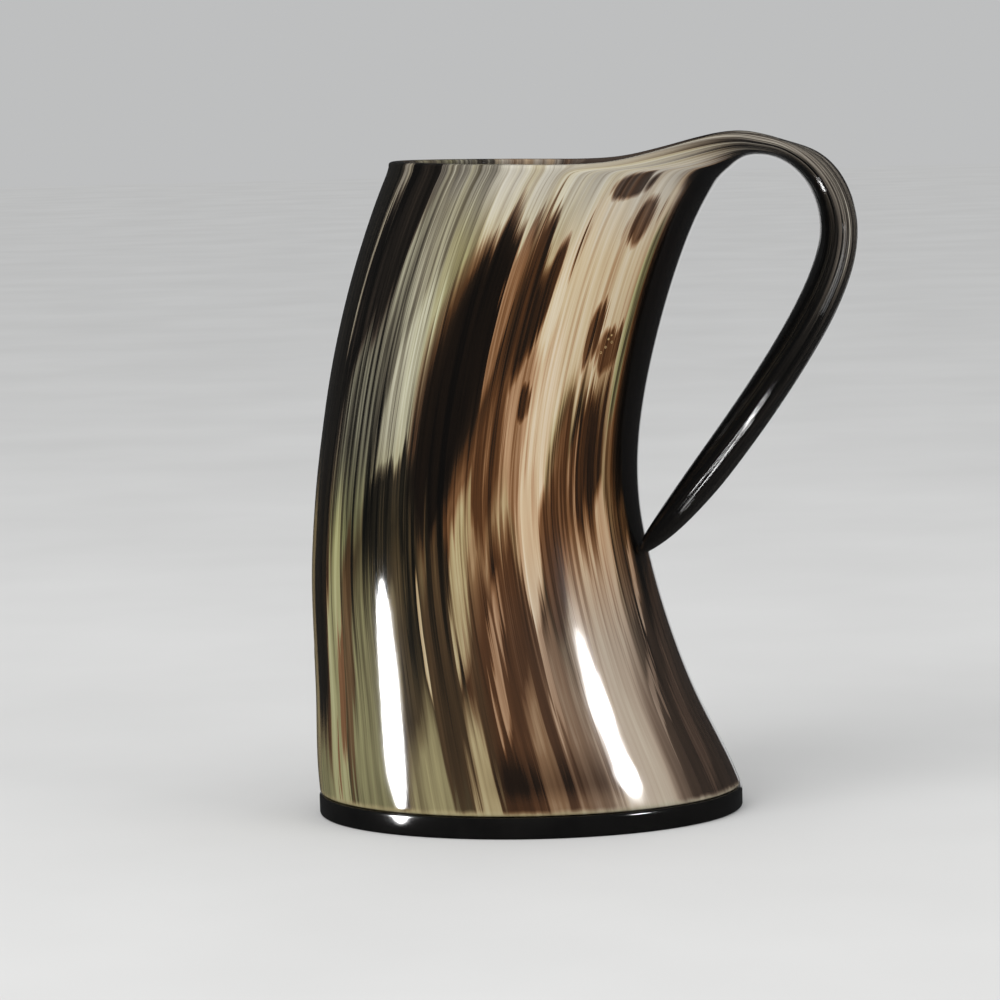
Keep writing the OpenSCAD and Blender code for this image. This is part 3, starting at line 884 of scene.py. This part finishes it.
def smudge(horn):
    """A dark smear just over the plate."""
    band = stretch(horn.height, 0.015, 0.05) * stretch(horn.height, 0.05, 0.12, 1.0, 0.0)
    return band * stretch(horn.degrees, -104.0, -84.0) * stretch(horn.degrees, -66.0, -50.0, 1.0, 0.0)


def ashen_share(horn):
    """Share of the grey cast: on the strap, at the mouth, high at the left and low at the right."""
    top = stretch(horn.height, 0.84, 1.0) * stretch(horn.coarse, 0.35, 0.6, 0.35, 0.8)
    left = stretch(horn.degrees, -120.0, -104.0, 0.6, 0.0) * stretch(horn.height, 0.42, 0.62)
    low = stretch(horn.height, 0.24, 0.46, 1.0, 0.0) * stretch(horn.degrees, -90.0, -52.0, 0.12, 0.62)
    return greater(greater(horn.on_strap * 0.85, top), greater(left, low))


def horn_tones(horn):
    """Tone and green share over the whole horn."""
    tone, green = painted_ground(horn)
    tone = strap_laid_over(horn, tone)
    green = mixed(green, 0.5, horn.on_strap)
    tone = mixed(tone, tone * 0.45 + 0.22, horn.bore * (1.0 - horn.on_strap))
    foot_edge = stretch(horn.height + swing(horn.coarse, 0.012), 0.003, 0.013, 0.9, 0.0)
    tone = mixed(tone, 0.64, foot_edge)
    green = mixed(green, 0.6, foot_edge)
    return tone + veins(horn, tone, green) - smudge(horn) * 0.12, green


def horn_material():
    """Polished, lacquered horn: fields and streaks that run with the grain, under a clear gloss."""
    material, tree = shader_tree("polished_horn")
    horn = horn_readings(tree)
    tone, green = horn_tones(horn)
    colour = colour_mix(ramp(tone, WARM_TONES), ramp(tone, GREEN_TONES), green)
    colour = colour_mix(colour, ramp(tone, GREY_TONES), ashen_share(horn))

    spot = object_place(tree)
    pits = cells(spot, PIT_SCALE)
    chipped = field_mask(horn.degrees, horn.height, horn.ragging * 0.2, PIT_CLUSTER)
    pit = stretch(pits, 0.2, 0.3, 1.0, 0.0) * chipped
    colour = colour_mix(colour, PIT_EDGE, pit * stretch(pits, 0.16, 0.24))
    dust = stretch(cells(spot, DUST_SCALE), 0.05, 0.11)
    ridges = horn.grain(13.0, 0.6, 2.0, 0.5, 17.0) * horn.on_strap
    relief = horn.fibres * 0.2 + noise(spot, PEEL_SCALE) * 0.35 + dust * 0.06 + ridges * 1.6 - pit * 1.5
    rough = scaled(horn.hairs, 0.06, 0.07) * (1.0 - horn.past_bend * 0.5)
    principled(tree, Base_Color=colour, Roughness=rough, Coat_Weight=0.4, Coat_Roughness=0.03,
               Coat_IOR=1.5, IOR=1.5, Normal=bump(relief, 0.00014, 0.5))
    return material


def gloss_black_material():
    """Black polish with a fine haze of dust and faint rubbing marks."""
    material, tree = shader_tree("polished_black")
    spot = object_place(tree)
    cloud = noise(spot, 90.0, 4.0, 0.6)
    rubbed = noise(spot * Vector((30.0, 30.0, 900.0)), 6.0, 3.0, 0.6)
    colour = ramp(cloud, ((0.3, rgb(10, 10, 10)), (0.7, rgb(20, 19, 18))))
    rough = 0.08 + rubbed * 0.09
    normal = bump(cloud * 0.7 + rubbed * 0.3, 0.00006, 0.3)
    principled(tree, Base_Color=colour, Roughness=rough, Coat_Weight=0.4, Coat_Roughness=0.04, Normal=normal)
    return material


def wood_material():
    """Oiled wood for the plug that closes the foot."""
    material, tree = shader_tree("oiled_wood")
    spot = object_place(tree)
    ring_count = 1500.0
    ring_sway = 26.0
    swirl = noise(spot * Vector((18.0, 90.0, 60.0)), 1.0, 4.0, 0.55)
    rings = sine(part_of(spot, 1) * ring_count + swirl * ring_sway) * 0.5 + 0.5
    pores = noise(spot * Vector((160.0, 2600.0, 900.0)), 1.0, 2.0, 0.6)
    tone = rings * 0.6 + pores * 0.4
    colour = ramp(tone, ((0.15, rgb(58, 36, 22)), (0.55, rgb(98, 64, 40)), (0.9, rgb(136, 94, 60))))
    normal = bump(tone, 0.00015, 0.5)
    principled(tree, Base_Color=colour, Roughness=0.35 + pores * 0.2, Coat_Weight=0.2, Normal=normal)
    return material


def resin_material(name, thin, thick):
    """Set glue in the colour that it shows against the horn, with small clouds in it."""
    material, tree = shader_tree(name)
    spot = object_place(tree)
    cloud = noise(spot, 420.0, 3.0, 0.6)
    colour = ramp(cloud, ((0.35, thin), (0.65, thick)))
    normal = bump(noise(spot, 900.0, 2.0), 0.0001, 0.3)
    principled(tree, Base_Color=colour, Roughness=0.12 + cloud * 0.1, Coat_Weight=0.3, Normal=normal)
    return material


def dress(node, material):
    """Gives a CAD node's own object a better material."""
    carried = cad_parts[node]
    for slot in carried.material_slots:
        slot.material = material


# The photograph's camera in the object's own frame, its focal length as a share of the picture's width
CAMERA_AT = Vector((54.13, -848.3, 162.25)) * MM
CAMERA_YAW = math.radians(4.0)
CAMERA_PITCH = math.radians(6.2)
CAMERA_ROLL = math.radians(1.5)
FOCAL_SHARE = 3.825


def add_camera():
    lens = bpy.data.cameras.new("photo_camera")
    lens.sensor_width = 36.0
    lens.lens = FOCAL_SHARE * lens.sensor_width
    lens.clip_end = 20.0
    camera = bpy.data.objects.new("photo_camera", lens)
    right = Vector((math.cos(CAMERA_YAW), math.sin(CAMERA_YAW), 0.0))
    level = Vector((-math.sin(CAMERA_YAW), math.cos(CAMERA_YAW), 0.0))
    ahead = level * math.cos(CAMERA_PITCH) - Vector((0.0, 0.0, math.sin(CAMERA_PITCH)))
    up = right.cross(ahead)
    turned_right = right * math.cos(CAMERA_ROLL) - up * math.sin(CAMERA_ROLL)
    turned_up = right * math.sin(CAMERA_ROLL) + up * math.cos(CAMERA_ROLL)
    turn = Matrix((turned_right, turned_up, -ahead)).transposed()
    camera.matrix_world = Matrix.Translation(CAMERA_AT) @ turn.to_4x4()
    bpy.context.scene.collection.objects.link(camera)
    bpy.context.scene.camera = camera


def add_floor():
    """A wide pale sheet under the cup."""
    reach = 6.0
    mesh = bpy.data.meshes.new("studio_floor")
    corners = [(-reach, -reach, 0.0), (reach, -reach, 0.0), (reach, reach, 0.0), (-reach, reach, 0.0)]
    mesh.from_pydata(corners, [], [(0, 1, 2, 3)])
    floor = bpy.data.objects.new("studio_floor", mesh)
    bpy.context.scene.collection.objects.link(floor)
    material, tree = shader_tree("pale_floor")
    spot = object_place(tree)
    cloud = noise(spot, 9.0, 3.0, 0.5)
    colour = ramp(cloud, ((0.3, (0.62, 0.615, 0.605)), (0.7, (0.66, 0.655, 0.645))))
    principled(tree, Base_Color=colour, Roughness=0.7, Specular_IOR_Level=0.0)
    mesh.materials.append(material)
    floor.visible_glossy = False


def add_panel(name, at, facing, width, height, power, shape="RECTANGLE", lights_diffuse=True, spread=180.0,
              shows_in_polish=True):
    """A soft light: its place in millimetres, and its bearing, rise and roll from the cup in degrees."""
    lamp = bpy.data.lights.new(name, "AREA")
    lamp.shape = shape
    lamp.size = width * MM
    lamp.size_y = height * MM
    lamp.energy = power
    lamp.spread = math.radians(spread)
    holder = bpy.data.objects.new(name, lamp)
    bearing, rise, roll = (math.radians(angle) for angle in facing)
    away = Vector((math.sin(bearing) * math.cos(rise), -math.cos(bearing) * math.cos(rise), math.sin(rise)))
    side = Vector((0.0, 0.0, 1.0)).cross(away).normalized()
    top = away.cross(side)
    wide = side * math.cos(roll) - top * math.sin(roll)
    high = side * math.sin(roll) + top * math.cos(roll)
    turn = Matrix((wide, high, away)).transposed()
    holder.matrix_world = Matrix.Translation(Vector(at) * MM) @ turn.to_4x4()
    holder.visible_diffuse = lights_diffuse
    holder.visible_glossy = shows_in_polish
    holder.visible_camera = False
    bpy.context.scene.collection.objects.link(holder)


def add_lights():
    """Two soft lights for the cup as a whole, and lamps that only draw the highlights in its polish."""
    add_panel("soft_key", (-700, -800, 900), (-41, 38, 0), 900, 900, 9.0, shows_in_polish=False)
    add_panel("soft_fill", (900, -500, 600), (61, 27, 0), 700, 700, 3.5, shows_in_polish=False)
    add_panel("left_strip", (-88.9, -64.3, 22.0), (-73.5, -14.7, 0), 21, 62, 0.15,
              shape="ELLIPSE", lights_diffuse=False)
    add_panel("right_lamp", (551.5, -445.7, 195.0), (52.2, 17.2, -15.8), 155, 95, 0.043,
              shape="ELLIPSE", lights_diffuse=False, spread=21)
    add_panel("handle_strip", (125, -33, 112), (62, -12, 0), 8, 50, 0.0005, lights_diffuse=False, spread=44)
    add_panel("ridge_high", (90, -49, 61), (49, -28, -34), 3.5, 34, 0.00094, lights_diffuse=False, spread=34)
    add_panel("ridge_low", (81, -31, 34), (67, -41, -7), 3.5, 38, 0.00077, lights_diffuse=False, spread=36)
    add_panel("back_glow", (0, 900, 25), (180, 0, 0), 600, 250, 0.35, lights_diffuse=False)


# Colour of the even light, its strength on the cup and where the polish mirrors it, and the pale ground
DAYLIGHT = (0.97, 0.985, 1.0, 1.0)
DAYLIGHT_STRENGTH = 0.82
MIRRORED_STRENGTH = 0.03
PALE_GROUND = (0.515, 0.52, 0.523, 1.0)

# Outputs of the Light Path node
SEEN_BY_CAMERA = 0
SEEN_IN_POLISH = 3


def set_world():
    """Even light from all sides, dimmer where the polish mirrors it, and a pale ground behind the cup."""
    world = bpy.data.worlds.new("studio_world")
    world.use_nodes = True
    tree = world.node_tree
    tree.nodes.clear()

    def glow(colour, strength):
        return add_node(tree, "ShaderNodeBackground", None, {"Color": colour, "Strength": strength})

    seen = add_node(tree, "ShaderNodeLightPath", out=SEEN_BY_CAMERA)
    mirrored = add_node(tree, "ShaderNodeLightPath", out=SEEN_IN_POLISH)
    light = glow(DAYLIGHT, DAYLIGHT_STRENGTH)
    dim = glow(DAYLIGHT, MIRRORED_STRENGTH)
    shown = glow(PALE_GROUND, 1.0)
    lit = add_node(tree, "ShaderNodeMixShader", None, {0: mirrored, 1: light, 2: dim})
    both = add_node(tree, "ShaderNodeMixShader", None, {0: seen, 1: lit, 2: shown})
    node = tree.nodes.new("ShaderNodeOutputWorld")
    tree.links.new(both.socket, node.inputs["Surface"])
    bpy.context.scene.world = world


def build():
    add_camera()
    add_floor()
    add_lights()
    set_world()
    bpy.context.scene.view_settings.view_transform = "Standard"
    horn = horn_wall(horn_material())
    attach(horn, "root")
    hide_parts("horn")
    plate = base_plate_piece(gloss_black_material())
    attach(plate, "root")
    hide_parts("base_plate")
    dress("floor_plug", wood_material())
    dress("floor_seal", resin_material("honey_resin", rgb(150, 112, 60), rgb(190, 156, 96)))
    dress("tip_glue", resin_material("dark_resin", rgb(24, 20, 16), rgb(40, 32, 24)))


build()
